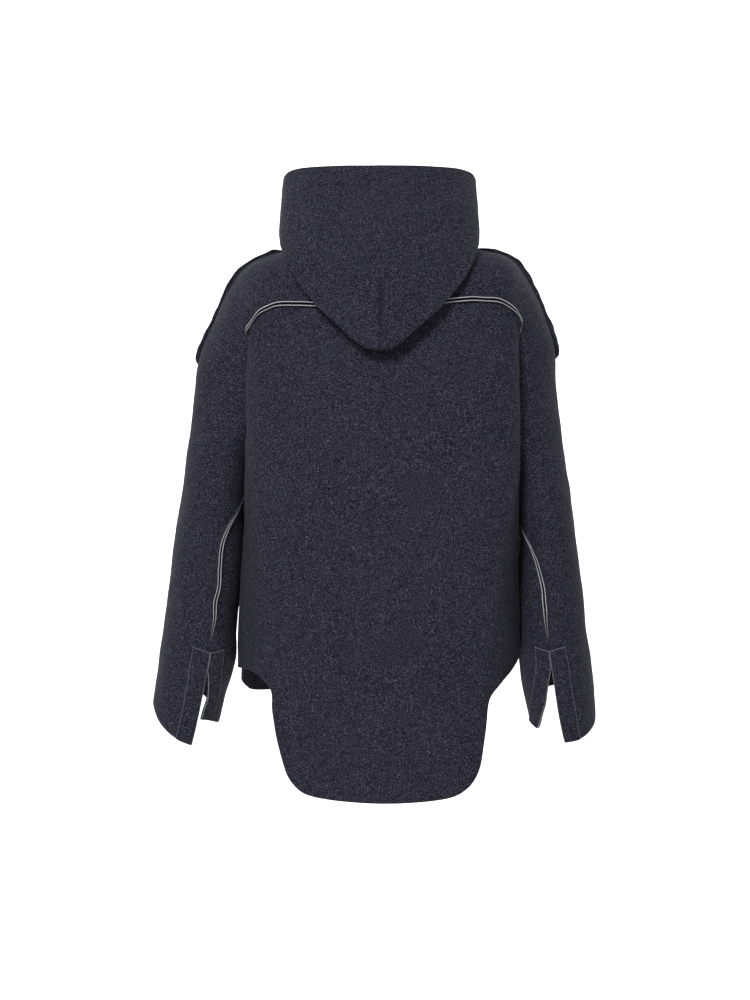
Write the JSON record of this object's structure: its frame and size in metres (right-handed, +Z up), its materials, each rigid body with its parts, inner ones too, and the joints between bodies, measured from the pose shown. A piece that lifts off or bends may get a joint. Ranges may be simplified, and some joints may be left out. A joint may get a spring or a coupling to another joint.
{
  "type": "hooded anorak",
  "caption": "Oversized pull-over anorak of thick felted wool with a lowered hood, a rounded back yoke, raw raised seams, a long shirt tail and slit cuffs, filled out and hollow.",
  "frame": {"origin": "between the shoulders at the height of the side neck, on the middle plane, where the wearer's shoulders carry the garment", "axes": "+Z up, +X towards the wearer's left, the wearer faces -Y and the back of the garment faces +Y"},
  "size_m": [0.6739, 0.297, 0.9545],
  "materials": {
    "back": "matt felted wool, navy and charcoal heather with light raw edges",
    "front": "matt felted wool, navy and charcoal heather with light raw edges",
    "hood": "matt felted wool, navy and charcoal heather with light raw edges",
    "sleeve_left": "matt felted wool, navy and charcoal heather with light raw edges",
    "sleeve_right": "matt felted wool, navy and charcoal heather with light raw edges",
    "cuff_facing_left_outer": "matt felted wool, navy and charcoal heather with light raw edges",
    "cuff_facing_left_inner": "matt felted wool, navy and charcoal heather with light raw edges",
    "cuff_facing_right_outer": "matt felted wool, navy and charcoal heather with light raw edges",
    "cuff_facing_right_inner": "matt felted wool, navy and charcoal heather with light raw edges"
  },
  "bodies": {
    "root": {"back": "back", "front": "front", "hood": "hood", "sleeve_left": "sleeve_left", "sleeve_right": "sleeve_right", "cuff_facing_left_outer": "cuff_facing_left_outer", "cuff_facing_left_inner": "cuff_facing_left_inner", "cuff_facing_right_outer": "cuff_facing_right_outer", "cuff_facing_right_inner": "cuff_facing_right_inner"}
  },
  "joints": []
}
